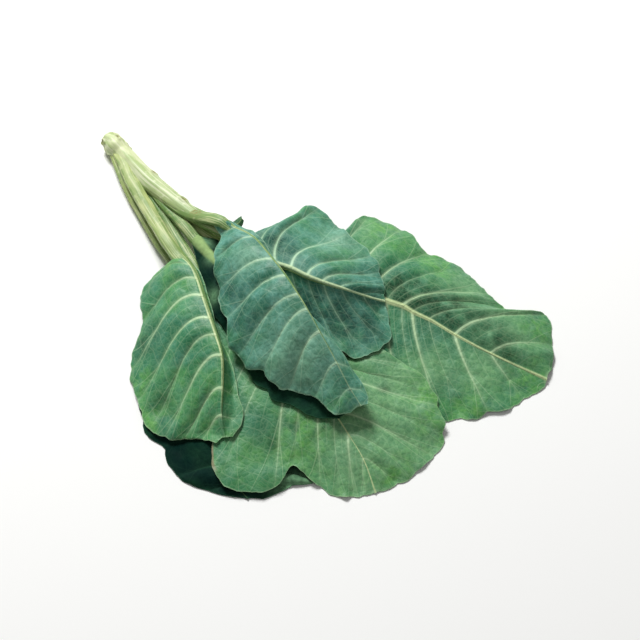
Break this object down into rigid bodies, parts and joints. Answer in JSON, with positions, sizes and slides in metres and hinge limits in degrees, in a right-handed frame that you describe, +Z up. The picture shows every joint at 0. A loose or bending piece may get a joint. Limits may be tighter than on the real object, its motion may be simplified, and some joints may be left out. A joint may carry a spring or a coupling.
{
  "type": "bunch of collard greens",
  "caption": "Cut bunch of collard greens lying flat: a short pale stalk with broad, wavy, ribbed leaves fanned out over each other on long stems.",
  "frame": {"origin": "middle of the bunch's footprint, on the surface that it lies on", "axes": "+Z up, +X along the bunch from the cut end of the stalk to the leaf tips"},
  "size_m": [0.5638, 0.4032, 0.0831],
  "materials": {
    "stalk": "smooth, slightly waxy pale green stalk skin",
    "leaf_green": "matte waxy leaf, mid green with pale veins",
    "leaf_blue_green": "matte waxy leaf with a grey-blue bloom and pale veins",
    "leaf_shaded": "matte waxy leaf, deep green"
  },
  "bodies": {
    "root": {"stalk": "stalk", "leaf_under": "leaf_shaded", "leaf_right": "leaf_green", "leaf_front": "leaf_green", "leaf_tucked": "leaf_shaded", "leaf_upper": "leaf_blue_green", "leaf_left": "leaf_green", "leaf_inner": "leaf_green", "leaf_centre": "leaf_blue_green"}
  },
  "joints": []
}
